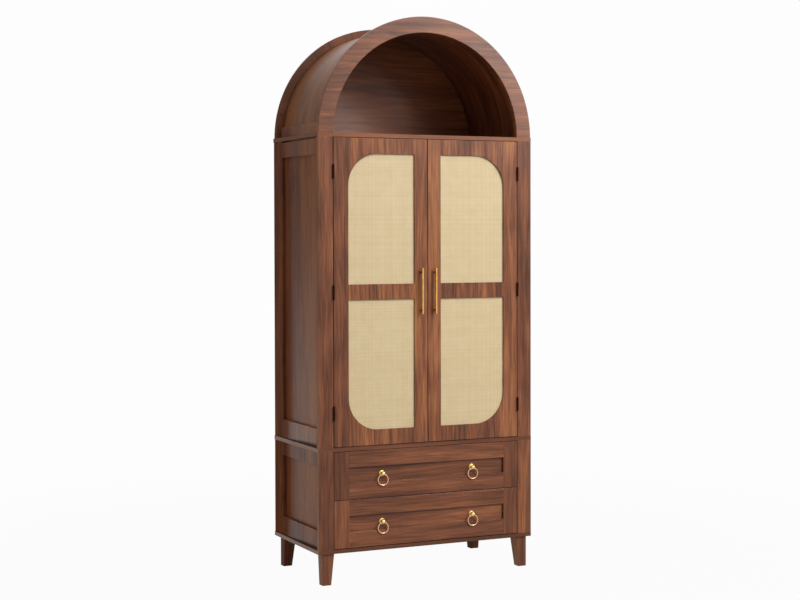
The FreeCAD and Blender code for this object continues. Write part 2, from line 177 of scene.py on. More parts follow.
# %% Walnut figure
MIDDLE = 0.5
SEED_SPREAD = 1.37
# Noise cells per metre, across and then along the grain
BAND_RATES = (24.0, 1.4)
ZONE_RATES = (9.0, 3.5)
DRIFT_RATES = (8.0, 1.6)
FIBRE_RATES = (210.0, 4.5)
PORE_RATES = (1500.0, 60.0)
# The sway counts along the grain first
SWAY_RATES = (3.0, 4.0)
# Noises of like rates are read on different layers
SWAY_LAYER = 9.0
DRIFT_LAYER = 5.0
ZONE_LAYER = 13.0
RINGS_PER_METRE = 46.0
RING_WANDER = 7.0
RING_SHARPNESS = 3.0
PORE_EDGE = (0.60, 0.72)
# How far each part of the figure moves the tone
BAND_DEPTH = 0.9
RING_DEPTH = -0.06
FIBRE_DEPTH = 0.48
PORE_DEPTH = -0.08


def grain_noise(tree, u, v, rates, layer, **detail):
    """Noise with its own number of cells per metre along u and v."""
    place = vector(tree, calc(tree, "MULTIPLY", u, rates[0]), calc(tree, "MULTIPLY", v, rates[1]), layer)
    return cloud(tree, place, **detail)


def centred(tree, noise):
    """Noise as a departure from its middle."""
    return calc(tree, "SUBTRACT", noise, MIDDLE)


def walnut_figure(tree, along, across, seed, grain_sway, zone_depth):
    """Tone of the veneer, its fibres and its pores at one place on a board."""
    sway = centred(tree, grain_noise(tree, along, across, SWAY_RATES, seed + SWAY_LAYER, detail=1.0))
    shifted = calc(tree, "MULTIPLY_ADD", sway, grain_sway, calc(tree, "ADD", across, seed * SEED_SPREAD))
    bands = grain_noise(tree, shifted, along, BAND_RATES, seed, detail=4.0, rough=0.82)
    zones = grain_noise(tree, shifted, along, ZONE_RATES, seed + ZONE_LAYER, rough=0.6)
    drift = grain_noise(tree, shifted, along, DRIFT_RATES, seed + DRIFT_LAYER)
    turns = calc(tree, "MULTIPLY_ADD", drift, RING_WANDER, calc(tree, "MULTIPLY", shifted, RINGS_PER_METRE))
    wave = calc(tree, "SINE", calc(tree, "MULTIPLY", turns, math.tau))
    rings = calc(tree, "POWER", calc(tree, "MULTIPLY_ADD", wave, MIDDLE, MIDDLE), RING_SHARPNESS)
    fibres = grain_noise(tree, shifted, along, FIBRE_RATES, seed, detail=4.0, rough=0.65)
    pores = remap(tree, grain_noise(tree, shifted, along, PORE_RATES, seed, detail=1.0), *PORE_EDGE)
    parts = [(centred(tree, bands), BAND_DEPTH), (centred(tree, zones), zone_depth), (rings, RING_DEPTH),
             (centred(tree, fibres), FIBRE_DEPTH), (pores, PORE_DEPTH)]
    tone = MIDDLE
    for part, depth in parts:
        tone = calc(tree, "MULTIPLY_ADD", part, depth, tone)
    return tone, fibres, pores


print("bands", round(1000 / BAND_RATES[0]), "mm wide, fibres", round(1000 / FIBRE_RATES[0], 1), "mm")

# %% [markdown]
# ## Walnut finish
# The veneer is oiled to a low sheen. The figure drives three things: a colour ramp of
# four browns, a gloss that the fibres vary and the pores dull, and a shallow relief.
# The strength of the reflection is one number for the whole board, so it is set on the
# shader itself.

# %% From figure to finish
WALNUT_STOPS = [(0.22, "54301F"), (0.38, "6E412B"), (0.52, "855034"), (0.72, "A46B43")]
WOOD_SPECULAR = 0.25
WOOD_ROUGH = 0.32
GRAIN_SWAY = 0.018
ZONE_DEPTH = 0.4
FIBRE_GLOSS = 0.16
PORE_DULLNESS = 0.12
PORE_SINK = -0.8
GRAIN_BUMP = 0.25
GRAIN_RELIEF = 0.0002


def finish_walnut(tree, shader, along, across, seed, stops=WALNUT_STOPS, rough=WOOD_ROUGH, shade=0.0,
                  specular=WOOD_SPECULAR, contrast=1.0, grain_sway=GRAIN_SWAY, zone_depth=ZONE_DEPTH):
    """Join the figure to the shader as colour, gloss and relief. A shade above 0 darkens the board."""
    tone, fibres, pores = walnut_figure(tree, along, across, seed, grain_sway, zone_depth)
    tone = calc(tree, "MULTIPLY_ADD", centred(tree, tone), contrast, MIDDLE)
    tone = calc(tree, "SUBTRACT", tone, shade)
    tree.links.new(ramp(tree, tone, stops), shader.inputs["Base Color"])
    gloss = calc(tree, "MULTIPLY_ADD", fibres, FIBRE_GLOSS, calc(tree, "SUBTRACT", rough, FIBRE_GLOSS / 2))
    tree.links.new(calc(tree, "MULTIPLY_ADD", pores, PORE_DULLNESS, gloss), shader.inputs["Roughness"])
    shader.inputs["Specular IOR Level"].default_value = specular
    relief(tree, shader, calc(tree, "MULTIPLY_ADD", pores, PORE_SINK, fibres), GRAIN_BUMP, GRAIN_RELIEF)


def dress(name, material):
    """Put one finish on a CAD piece."""
    for slot in nodes[name].material_slots:
        slot.material = material


wooden = []


def dress_boards(make, finishes, seed):
    """Give each named board a material of its own; gives the next free seed."""
    for name, finish in finishes.items():
        dress(name, make(name, seed, **finish))
        wooden.append(name)
        seed += 1.0
    return seed


print("walnut has", len(WALNUT_STOPS), "browns")

# %% [markdown]
# ## Legs and posts
# The grain of a leg or post runs upright. Object coordinates are the same metres as the
# CAD, so a direction is only a choice of which axes to read. Adding the two axes across
# the grain lets the figure turn a corner, as it does on solid wood. The narrow flanks
# were sawn and only lightly sanded, so they are duller than the front, and their paler
# colour is painted light in place of a sheen. The back legs keep one tone, darkened as
# painted shade.

# %% Upright boards
FLANK_FACING = (0.5, 0.9)
FLANK_ROUGH = 0.52
PAINTED_FLANK_LIGHT = -0.2


def facing_x(tree):
    """How far the surface faces along X, from -1 on a left face to 1 on a right face."""
    place = [node for node in tree.nodes if node.bl_idname == "ShaderNodeTexCoord"][0]
    facing = tree.nodes.new("ShaderNodeSeparateXYZ")
    tree.links.new(place.outputs["Normal"], facing.inputs["Vector"])
    return facing.outputs["X"]


def upright_walnut(name, seed, rough=WOOD_ROUGH, shade=0.0, painted_flank_shade=PAINTED_FLANK_LIGHT, **finish):
    """Upright grain, with the left and right flanks no glossier than the front."""
    material, tree, shader, (x, y, z) = fresh_material("walnut_" + name)
    # The flank mask makes the flanks duller and carries painted light onto them as a paler tone.
    flank = remap(tree, calc(tree, "ABSOLUTE", facing_x(tree)), *FLANK_FACING)
    finish_walnut(tree, shader, z, calc(tree, "ADD", x, y), seed,
                  rough=choose(tree, flank, rough, max(rough, FLANK_ROUGH)),
                  shade=choose(tree, flank, shade, painted_flank_shade), **finish)
    return material


legs_and_posts = {
    "leg_front_left": {"shade": 0.05},
    "leg_front_right": {"shade": 0.22},
    # The back legs' shades, the strongest on the back right leg, are painted shade.
    "leg_back_left": {"shade": 0.08, "painted_flank_shade": 0.08, "rough": 0.6, "specular": 0.1},
    "leg_back_right": {"shade": 0.40, "painted_flank_shade": 0.40, "rough": 0.6, "specular": 0.08},
    "lower_post_left": {"shade": 0.14},
    "lower_post_right": {"shade": 0.05},
    "upper_post_left": {"shade": 0.07, "contrast": 1.2},
    "upper_post_right": {"shade": 0.10, "contrast": 1.2},
}
seed = dress_boards(upright_walnut, legs_and_posts, 1.0)
print("upright grain on", len(legs_and_posts), "legs and posts")

# %% [markdown]
# ## Side walls
# Each side is a recessed panel with a stile and rails around it, in a warmer sheet of
# veneer. On the left it is paler towards the front, which is painted light for the sheen
# and for a wall that faces away from the lamp; on the right it keeps nearly one tone, and
# the change between the two falls in the middle, where no side wall is. Towards the back
# the sheen fades, and a soft painted shade lies where a rail stands on a board.

# %% Side walls and aprons
SIDE_STOPS = [(0.22, "48281E"), (0.38, "6B3C26"), (0.52, "854C2C"), (0.72, "A9683A")]
RIGHT_SHADE = 0.05
MIDDLE_BLEND = 0.2
SHEEN_FADE = (0.03, 0.13)
REAR_ROUGH = 0.95
PAINTED_LIGHT_FADE = (-0.10, 0.06)
REAR_SHADE = 0.02
PAINTED_CORNER_DARKNESS = 0.4
CORNER_HEIGHT = 0.024
CORNER_FADE = (0.1, 1.0)
CORNER_DULLNESS = 2.5


def left_or_right(tree, x, left, right):
    """One value on the left half of the cabinet, another on the right, blended in the middle."""
    return choose(tree, remap(tree, x, -MIDDLE_BLEND, MIDDLE_BLEND), left, right)


def side_walnut(name, seed, rough=WOOD_ROUGH, shade=0.0, painted_corner_shade=0.0, **finish):
    """Upright grain that goes dull towards the back and over a board."""
    material, tree, shader, (x, y, z) = fresh_material("walnut_" + name)
    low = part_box(name)[0]
    # A painted shade darkens the rail just above a board, taller towards the front.
    reach = remap(tree, y, low.y, SHEEN_FADE[1], CORNER_HEIGHT, CORNER_HEIGHT / 3)
    rise = calc(tree, "DIVIDE", calc(tree, "SUBTRACT", z, low.z), reach)
    corner = remap(tree, rise, *CORNER_FADE, painted_corner_shade, 0.0)
    rear_dullness = remap(tree, y, *SHEEN_FADE, rough, REAR_ROUGH)
    dullness = calc(tree, "MAXIMUM", rear_dullness, calc(tree, "MULTIPLY", corner, CORNER_DULLNESS))
    # On the left the front is paler: painted light for the sheen and for a wall facing away from the lamp.
    front_shade = left_or_right(tree, x, shade, RIGHT_SHADE)
    wall_shade = choose(tree, remap(tree, y, *PAINTED_LIGHT_FADE), front_shade, REAR_SHADE)
    finish_walnut(tree, shader, z, calc(tree, "ADD", x, y), seed, stops=SIDE_STOPS, rough=dullness,
                  shade=calc(tree, "ADD", wall_shade, corner), **finish)
    return material


# The negative shades below lift the left front of each piece, which is painted light.
lower_panel = {"shade": -0.18, "contrast": 0.8, "specular": 0.09}
upper_panel = {"shade": -0.18, "contrast": 0.8, "specular": 0.15}
side_walls = {
    "lower_side_panel_left": lower_panel,
    "lower_side_panel_right": lower_panel,
    "upper_side_panel_left": upper_panel,
    "upper_side_panel_right": upper_panel,
    "lower_side_frames": {"shade": -0.04, "specular": 0.12, "painted_corner_shade": PAINTED_CORNER_DARKNESS},
    "upper_side_frames": {"shade": -0.18, "specular": 0.27, "painted_corner_shade": PAINTED_CORNER_DARKNESS},
    "arch_aprons": {"shade": -0.37, "specular": 0.6},
}
seed = dress_boards(side_walnut, side_walls, seed)
print("side grain on", len(side_walls), "pieces")

# %% [markdown]
# ## Level boards
# Boards, shelves, drawer panels, the front ring and the niche's back have level grain.
# On the end faces of a board the grain would show as end grain, but these are edged with
# a strip of veneer, so there the figure turns along Y. The end faces are also a little
# paler, which is painted light. The niche's back panel is smoother than the rest and
# mirrors one card of the studio.

# %% Boards with level grain
END_FACE = 0.8
PAINTED_END_LIGHT = -0.12
DRAWER_GRAIN = {"contrast": 1.1, "grain_sway": 0.03, "zone_depth": 0.1}


def level_walnut(name, seed, wood="walnut", shade=0.0, contrast=0.6, grain_sway=0.015, **finish):
    """Calm grain along X, turned along Y on the two end faces, which are paler by painted light."""
    material, tree, shader, (x, y, z) = fresh_material(wood + "_" + name)
    at_end = calc(tree, "GREATER_THAN", calc(tree, "ABSOLUTE", facing_x(tree)), END_FACE)
    along = choose(tree, at_end, x, y)
    across = choose(tree, at_end, calc(tree, "ADD", z, y), z)
    # The end faces get a paler tone: painted light.
    finish_walnut(tree, shader, along, across, seed, shade=choose(tree, at_end, shade, PAINTED_END_LIGHT),
                  contrast=contrast, grain_sway=grain_sway, **finish)
    return material


level_boards = {
    "base_board": {"shade": 0.24},
    "mid_board": {"shade": 0.13},
    "top_board": {"shade": -0.03},
    "arch_front_ring": {"shade": 0.07, "specular": 0.34, "contrast": 1.2},
    "niche_back_panel": {"shade": 0.0, "rough": 0.12, "specular": 0.03, "contrast": 0.8},
    "lower_drawer_panel": {"shade": 0.05, **DRAWER_GRAIN},
    "upper_drawer_panel": {"shade": 0.13, **DRAWER_GRAIN},
    "shelves": {},
}
seed = dress_boards(level_walnut, level_boards, seed)
print("level grain on", len(level_boards), "pieces")

# %% [markdown]
# ## Vault and hoop
# The vault is a thin sheet bent over the niche, with its grain round the curve. The angle
# about the arch's centre, times the radius, is a length along the bend, so the same
# figure follows it. The inside of the vault is recognised by its smaller radius and
# darkened there as painted shade. On the left the outside is paler, as painted light,
# and the hoop behind the ring is darkened all over as painted shadow.

# %% Bent boards
vault_low, vault_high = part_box("arch_vault")
SPRING = vault_low.z
VAULT_RADIUS = vault_high.x
VAULT_SKIN = 0.004
PAINTED_NICHE_SHADE = 0.05


def from_centre(tree, a, b):
    """Distance of a place with two coordinates from their zero."""
    squares = [calc(tree, "POWER", value, 2.0) for value in (a, b)]
    return calc(tree, "SQRT", calc(tree, "ADD", *squares))


def bent_walnut(name, seed, shade=0.0, right_shade=RIGHT_SHADE, **finish):
    """Grain round the arch; the inside is darkened as painted shade, the outside takes a shade per side."""
    material, tree, shader, (x, y, z) = fresh_material("walnut_" + name)
    height = calc(tree, "SUBTRACT", z, SPRING)
    round_the_arch = calc(tree, "MULTIPLY", calc(tree, "ARCTAN2", height, x), VAULT_RADIUS)
    # The darker inside of the vault is painted shade.
    inside = calc(tree, "LESS_THAN", from_centre(tree, x, height), VAULT_RADIUS - VAULT_SKIN)
    outer_shade = left_or_right(tree, x, shade, right_shade)
    finish_walnut(tree, shader, round_the_arch, y, seed,
                  shade=choose(tree, inside, outer_shade, PAINTED_NICHE_SHADE), **finish)
    return material


bent_boards = {
    # The vault's negative shade is painted light on its left; the hoop's shade is painted shadow.
    "arch_vault": {"shade": -0.22, "specular": 0.5, "contrast": 1.6},
    "arch_back_hoop": {"shade": 0.20, "right_shade": 0.20, "rough": 0.6},
}
seed = dress_boards(bent_walnut, bent_boards, seed)
print("arch springs at", round(SPRING, 3), "m with a vault radius of", round(VAULT_RADIUS, 3), "m")

# %% [markdown]
# ## Lining
# Drawer boxes, back panels and packing strips are a plainer, greyer sheet without polish.
# It is the same level grain with another ramp of browns and a duller surface.

# %% Drawer boxes and back panels
LINING_STOPS = [(0.24, "50352A"), (0.42, "6E4B3A"), (0.54, "7B5641"), (0.74, "8F6A50")]
lining = {"wood": "lining", "stops": LINING_STOPS, "rough": 0.55}
lined_names = ["lower_drawer_box", "upper_drawer_box", "lower_drawer_bottom", "upper_drawer_bottom",
               "runner_spacers", "lower_back_panel", "upper_back_panel"]
seed = dress_boards(level_walnut, {name: lining for name in lined_names}, seed)
print("lining on", len(lined_names), "pieces")

# %% [markdown]
# ## Drawer frames
# The frame on a drawer front has two upright stiles with two level rails between them.
# The material finds the stiles by their distance from the middle and swaps the two grain
# directions there. Each stile was cut from another sheet, so it has a tone of its own.

# %% Drawer frames
DRAWER_STILE = 0.054


def framed_walnut(name, seed, left_shade, rail_shade, right_shade):
    """Upright grain on the two stiles and level grain on the rails between them."""
    material, tree, shader, (x, y, z) = fresh_material("walnut_" + name)
    rail_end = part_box(name)[1].x - DRAWER_STILE
    on_left = calc(tree, "LESS_THAN", x, -rail_end)
    on_right = calc(tree, "GREATER_THAN", x, rail_end)
    on_stile = calc(tree, "ADD", on_left, on_right)
    shade = choose(tree, on_right, choose(tree, on_left, rail_shade, left_shade), right_shade)
    finish_walnut(tree, shader, choose(tree, on_stile, x, z), choose(tree, on_stile, z, x), seed,
                  shade=shade, **DRAWER_GRAIN)
    return material


drawer_frames = {
    "lower_drawer_frame": {"left_shade": 0.06, "rail_shade": 0.10, "right_shade": 0.08},
    "upper_drawer_frame": {"left_shade": 0.23, "rail_shade": 0.06, "right_shade": 0.14},
}
seed = dress_boards(framed_walnut, drawer_frames, seed)
print("framed grain on", len(drawer_frames), "drawers")

# %% [markdown]
# ## Door frames
# A door frame is one sheet with two windows routed out, so all of its grain is upright,
# on the rails too. Its tone still changes from stile to stile. The windows' edges are
# known from the cane sheets, which lap a little behind the frame.

# %% Door frames
CANE_LAP = 0.0075
STILE_CONTRAST = 1.2
RAIL_CONTRAST = 1.55
DOOR_ZONES = 0.55


def door_walnut(name, seed, hinge_shade, meeting_shade, rail_shade):
    """Upright grain, with a shade for the hinge stile, the meeting stile and the rails."""
    material, tree, shader, (x, y, z) = fresh_material("walnut_" + name)
    low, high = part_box("right_upper_cane")
    window_in = low.x + CANE_LAP
    window_out = high.x - CANE_LAP
    out = calc(tree, "ABSOLUTE", x)
    between = calc(tree, "MULTIPLY", calc(tree, "LESS_THAN", out, window_out),
                   calc(tree, "GREATER_THAN", out, window_in))
    below_top = calc(tree, "LESS_THAN", z, high.z - CANE_LAP)
    hinge = calc(tree, "MULTIPLY", calc(tree, "GREATER_THAN", out, window_out), hinge_shade)
    meeting = calc(tree, "MULTIPLY", calc(tree, "LESS_THAN", out, window_in), meeting_shade)
    rails = calc(tree, "MULTIPLY", calc(tree, "MULTIPLY", between, below_top), rail_shade)
    shade = calc(tree, "ADD", calc(tree, "ADD", hinge, meeting), rails)
    finish_walnut(tree, shader, z, calc(tree, "ADD", x, y), seed, shade=shade, zone_depth=DOOR_ZONES,
                  contrast=choose(tree, between, STILE_CONTRAST, RAIL_CONTRAST))
    return material


door_frames = {
    "left_door_frame": {"hinge_shade": 0.12, "meeting_shade": -0.01, "rail_shade": 0.03},
    "right_door_frame": {"hinge_shade": -0.06, "meeting_shade": -0.05, "rail_shade": 0.03},
}
seed = dress_boards(door_walnut, door_frames, seed)
print("wood on", len(wooden), "pieces in all")

# %% [markdown]
# ## Eased edges
# A sawn board is never knife-sharp: its edges are sanded by a little under a
# millimetre, and that thin round catches the light. The CAD pieces keep their exact
# mesh. A Weld modifier joins their loose triangles and a Bevel modifier rounds only
# the edges that turn sharply.

# %% Ease the wooden edges
EDGE_EASE = 0.0008
EASE_SEGMENTS = 2
SHARP_TURN = math.radians(40.0)
WELD_DISTANCE = 0.00001
for name in wooden:
    weld = nodes[name].modifiers.new("weld", "WELD")
    weld.merge_threshold = WELD_DISTANCE
    ease = nodes[name].modifiers.new("ease", "BEVEL")
    ease.width = EDGE_EASE
    ease.segments = EASE_SEGMENTS
    ease.limit_method = "ANGLE"
    ease.angle_limit = SHARP_TURN
print("eased", len(wooden), "pieces by", EDGE_EASE * 1000, "mm")

# %% [markdown]
# ## Metal and plastic
# The handles are polished brass, drawn lengthwise, the knobs a brighter gold and the
# rings a paler one. The hinges are a dark bronze. Metals take nearly all their look from
# what they reflect, so the graph adds little: fine lines from drawing or turning and a
# faint film, which vary the gloss and darken the colour in places. The flanks of a
# handle's bar are darker, a painted shade for the dark reflections at a round bar's sides.

# %% Metal finishes
FILM_RATE = 60.0
GLOSS_VARY = 0.12
FLANK_EDGE = (0.45, 0.95)
TARNISH_SHARE = 0.3
DULL_SHARE = 0.86
LINE_BUMP = 0.15
LINE_RELIEF = 0.00005


def darker(colour, share):
    """A hex colour at a share of its brightness."""
    return "".join("%02X" % int(int(colour[k:k + 2], 16) * share) for k in HEX_PAIRS)


def metal(name, colour, rough, line_rates, metallic=1.0, painted_flank_shade=0.0):
    """Metal or hard plastic with fine lines in its gloss, and painted shade on the flanks if asked."""
    material, tree, shader, surface = fresh_material(name)
    line_place = [calc(tree, "MULTIPLY", value, rate) for value, rate in zip(surface, line_rates)]
    film_place = [calc(tree, "MULTIPLY", value, FILM_RATE) for value in surface]
    lines = cloud(tree, vector(tree, *line_place), detail=3.0, rough=0.6)
    film = cloud(tree, vector(tree, *film_place))
    wear = calc(tree, "MULTIPLY", calc(tree, "ADD", lines, film), 0.5)
    # Painted shade: the faces that look left and right are darkened.
    flank = remap(tree, calc(tree, "ABSOLUTE", facing_x(tree)), *FLANK_EDGE, 0.0, painted_flank_shade)
    stops = [(0.0, darker(colour, TARNISH_SHARE)), (0.3, darker(colour, DULL_SHARE)), (0.65, colour)]
    tree.links.new(ramp(tree, calc(tree, "SUBTRACT", wear, flank), stops), shader.inputs["Base Color"])
    shader.inputs["Metallic"].default_value = metallic
    gloss = calc(tree, "MULTIPLY_ADD", wear, GLOSS_VARY, rough - GLOSS_VARY / 2)
    tree.links.new(gloss, shader.inputs["Roughness"])
    relief(tree, shader, lines, LINE_BUMP, LINE_RELIEF)
    return material


handle_brass = metal("handle_brass", "EDB968", rough=0.18, line_rates=(900.0, 900.0, 20.0), painted_flank_shade=0.5)
knob_gold = metal("knob_gold", "F2D084", rough=0.30, line_rates=(700.0, 60.0, 700.0))
ring_gold = metal("ring_gold", "DBAF8C", rough=0.25, line_rates=(300.0, 300.0, 300.0))
hinge_black = metal("hinge_black", "33190D", rough=0.45, line_rates=(300.0, 300.0, 40.0))
zinc = metal("zinc_plate", "B9BBBE", rough=0.34, line_rates=(60.0, 500.0, 60.0))
catch_plastic = metal("catch_plastic", "3A2A22", rough=0.5, line_rates=(200.0, 200.0, 200.0), metallic=0.0)
finishes = {
    handle_brass: ["left_handle", "right_handle"],
    knob_gold: ["lower_pull_knobs", "upper_pull_knobs"],
    ring_gold: ["lower_ring_left", "lower_ring_right", "upper_ring_left", "upper_ring_right"],
    hinge_black: ["left_door_hinge_leaves", "right_door_hinge_leaves", "post_hinge_leaves", "hinge_pins"],
    zinc: ["runner_channels", "lower_drawer_slides", "upper_drawer_slides", "leg_bolts", "shelf_pins",
           "left_catch_plate", "right_catch_plate"],
    catch_plastic: ["door_catches"],
}
for material, names in finishes.items():
    for name in names:
        dress(name, material)
print("metal and plastic on", sum(len(names) for names in finishes.values()), "pieces")

# %% [markdown]
# ## Cane finish
# Cane is the shiny outer skin of rattan, split into flat strips. Each strip has a tone
# of its own and darker flecks along it. The pattern reads which strip it is on from the
# strip's place in the weave, so neighbours differ while one strip stays even.

# %% Cane strips
CANE_PITCH = 0.004
CANE_MIDDLE = (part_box("left_upper_cane")[0].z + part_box("left_lower_cane")[1].z) / 2
CANE_STOPS = [(0.2, "C1A97D"), (0.5, "CCB68D"), (0.75, "D5C39D")]
FLECK_RATES = (1600.0, 45.0)
PATCH_RATES = (26.0, 26.0)
PATCH_LAYER = 2.0
OWN_DEPTH = 0.22
FLECK_DEPTH = 0.5
PATCH_DEPTH = 0.3
CANE_ROUGH = 0.35
FLECK_GLOSS = 0.3
FLECK_BUMP = 0.2
FLECK_RELIEF = 0.0001


def cane_finish(name, upright_strips):
    """Cane skin for the upright or the level strips of the weave."""
    material, tree, shader, (x, y, z) = fresh_material(name)
    height = calc(tree, "SUBTRACT", z, CANE_MIDDLE)
    across, along = (x, height) if upright_strips else (height, x)
    strip = calc(tree, "FLOOR", calc(tree, "DIVIDE", across, CANE_PITCH))
    own = tree.nodes.new("ShaderNodeTexWhiteNoise")
    own.noise_dimensions = "1D"
    tree.links.new(strip, own.inputs["W"])
    flecks = grain_noise(tree, across, along, FLECK_RATES, strip, detail=3.0, rough=0.6)
    patch = grain_noise(tree, x, z, PATCH_RATES, PATCH_LAYER)
    tone = calc(tree, "MULTIPLY", flecks, FLECK_DEPTH)
    tone = calc(tree, "MULTIPLY_ADD", own.outputs["Value"], OWN_DEPTH, tone)
    tone = calc(tree, "MULTIPLY_ADD", patch, PATCH_DEPTH, tone)
    tree.links.new(ramp(tree, tone, CANE_STOPS), shader.inputs["Base Color"])
    tree.links.new(calc(tree, "MULTIPLY_ADD", flecks, FLECK_GLOSS, CANE_ROUGH), shader.inputs["Roughness"])
    relief(tree, shader, flecks, FLECK_BUMP, FLECK_RELIEF)
    return material


warp_cane = cane_finish("cane_upright", True)
weft_cane = cane_finish("cane_level", False)
print("cane pitch", CANE_PITCH * 1000, "mm")

# %% [markdown]
# ## One strip of cane
# Each door window holds a sheet of close plain weave in a rebate behind the frame. An
# image of weave would look flat from the side, so the strips are real. One strip is a
# flat lozenge, extruded from crossing to crossing, now in front of the strips that it
# meets, now behind them.

# %% Weave one strip
STRIP_WIDTH = 0.0039
STRIP_THICK = 0.00032
FRONT = Vector((0.0, -1.0, 0.0))


def only(kind, items):
    """The vertices, edges or faces among some geometry."""
    return [item for item in items if isinstance(item, kind)]


def weave_strip(bm, start, step, side, crossings, lift, material_index):
    """Extrude one strip over and under its crossings; gives its vertices, edges and faces."""
    half_wide = side * (STRIP_WIDTH / 2)
    half_thick = FRONT * (STRIP_THICK / 2)
    ring = [bm.verts.new(start + corner) for corner in (half_wide, half_thick, -half_wide, -half_thick)]
    edges = [bm.edges.new((ring[k - 1], ring[k])) for k in range(len(ring))]
    faces = []
    height = 0.0
    for k in range(crossings + 1):
        last = k == crossings
        target = 0.0 if last else lift * (1 if k % 2 == 0 else -1)
        reach = step / 2 if k == 0 or last else step
        grown = bmesh.ops.extrude_edge_only(bm, edges=edges)["geom"]
        edges = only(bmesh.types.BMEdge, grown)
        faces += only(bmesh.types.BMFace, grown)
        bmesh.ops.translate(bm, verts=only(bmesh.types.BMVert, grown), vec=reach + FRONT * (target - height))
        height = target
    for face in faces:
        face.material_index = material_index
    strip_edges = dict.fromkeys(edge for face in faces for edge in face.edges)
    strip_verts = dict.fromkeys(vert for face in faces for vert in face.verts)
    return list(strip_verts) + list(strip_edges) + faces


print("cane strips", STRIP_WIDTH * 1000, "mm wide and", STRIP_THICK * 1000, "mm thick")

# %% [markdown]
# ## One sheet of cane
# A strip's neighbour goes over where it goes under, so a pair each way is enough, and
# spin with no angle repeats the pairs across the sheet. One corner of each window is
# round, so the sheet is cut there with planes that touch the arc, and the cut ends of
# the strips are filled.

# %% Weave one sheet
WEAVE_LIFT = 0.00018
WEAVE_SETBACK = 0.0002
CORNER_RADIUS = 0.1145
CORNER_CUTS = 9
STRIP_END_SIDES = 8
# Places of the two cane finishes on the mesh: upright strips, level strips
WARP = 0
WEFT = 1


def repeat(bm, geometry, shift, copies):
    """Copies of some geometry, each one shift further."""
    if copies > 0:
        bmesh.ops.spin(bm, geom=geometry, cent=(0, 0, 0), axis=(0, 1, 0), dvec=shift, angle=0.0,
                       steps=copies, use_duplicate=True)


def outer_corner(node, side, level_name):
    """Corner of a cane sheet that is rounded, and the way inwards from it."""
    low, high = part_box(node)
    x, inward_x = (low.x, 1) if side == "left" else (high.x, -1)
    z, inward_z = (high.z, -1) if level_name == "upper" else (low.z, 1)
    return Vector((x, 0.0, z)), inward_x, inward_z


def round_corner(bm, corner, inward_x, inward_z):
    """Cut a corner to its arc with planes that touch it."""
    centre = corner + Vector((inward_x, 0.0, inward_z)) * CORNER_RADIUS
    for k in range(CORNER_CUTS):
        turn = math.radians(90.0) * (k + 0.5) / CORNER_CUTS
        out = Vector((-inward_x * math.sin(turn), 0.0, -inward_z * math.cos(turn)))
        everything = bm.verts[:] + bm.edges[:] + bm.faces[:]
        bmesh.ops.bisect_plane(bm, geom=everything, plane_co=centre + out * CORNER_RADIUS, plane_no=out,
                               clear_outer=True)


def first_sheet():
    """Weave the sheet of the left upper window."""
    low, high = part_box("left_upper_cane")
    x0 = math.ceil(low.x / CANE_PITCH) * CANE_PITCH
    z0 = CANE_MIDDLE + math.ceil((low.z - CANE_MIDDLE) / CANE_PITCH) * CANE_PITCH
    columns = int((high.x - x0) / CANE_PITCH)
    rows = int((high.z - z0) / CANE_PITCH)
    depth = low.y + WEAVE_LIFT + STRIP_THICK / 2 + WEAVE_SETBACK
    along_x = Vector((CANE_PITCH, 0.0, 0.0))
    along_z = Vector((0.0, 0.0, CANE_PITCH))
    corner = Vector((x0, depth, z0))
    bm = bmesh.new()
    strips = []
    for k, lift in enumerate((WEAVE_LIFT, -WEAVE_LIFT)):
        start = corner + along_x * (k + 0.5)
        strip = weave_strip(bm, start, along_z, along_x.normalized(), rows, lift, WARP)
        strips.append((strip, along_x * 2, (columns - 1 - k) // 2))
        start = corner + along_z * (k + 0.5)
        strip = weave_strip(bm, start, along_x, along_z.normalized(), columns, -lift, WEFT)
        strips.append((strip, along_z * 2, (rows - 1 - k) // 2))
    for strip, shift, copies in strips:
        repeat(bm, strip, shift, copies)
    round_corner(bm, *outer_corner("left_upper_cane", "left", "upper"))
    open_ends = [edge for edge in bm.edges if edge.is_boundary]
    bmesh.ops.holes_fill(bm, edges=open_ends, sides=STRIP_END_SIDES)
    bmesh.ops.recalc_face_normals(bm, faces=bm.faces[:])
    print("one sheet:", columns, "upright and", rows, "level strips,", len(bm.faces), "faces")
    return bm


woven = first_sheet()

# %% [markdown]
# ## Four sheets of cane
# The four windows are mirror images of each other, so the first sheet is copied and
# flipped across the middle of the cabinet, across the middle rail, or both. A mirrored
# mesh is inside out, so its faces are turned round. Each sheet replaces the plain CAD
# sheet and rides on its door.

# %% Copy the sheet to each window
windows = [(side, level_name) for side in ("left", "right") for level_name in ("upper", "lower")]


def flip(bm, axis, plane):
    """Mirror a mesh across a plane square to X or Z."""
    scale = Vector((-1.0, 1.0, 1.0)) if axis == "x" else Vector((1.0, 1.0, -1.0))
    shift = Vector((2 * plane, 0.0, 0.0)) if axis == "x" else Vector((0.0, 0.0, 2 * plane))
    bmesh.ops.scale(bm, verts=bm.verts[:], vec=scale)
    bmesh.ops.translate(bm, verts=bm.verts[:], vec=shift)
    bmesh.ops.reverse_faces(bm, faces=bm.faces[:])


def finished_piece(name, bm, materials, body):
    """Turn a bmesh into a piece that rides on a body."""
    mesh = bpy.data.meshes.new(name)
    bm.to_mesh(mesh)
    bm.free()
    for material in materials:
        mesh.materials.append(material)
    piece = bpy.data.objects.new(name, mesh)
    scene.collection.objects.link(piece)
    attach(piece, body)
    return piece


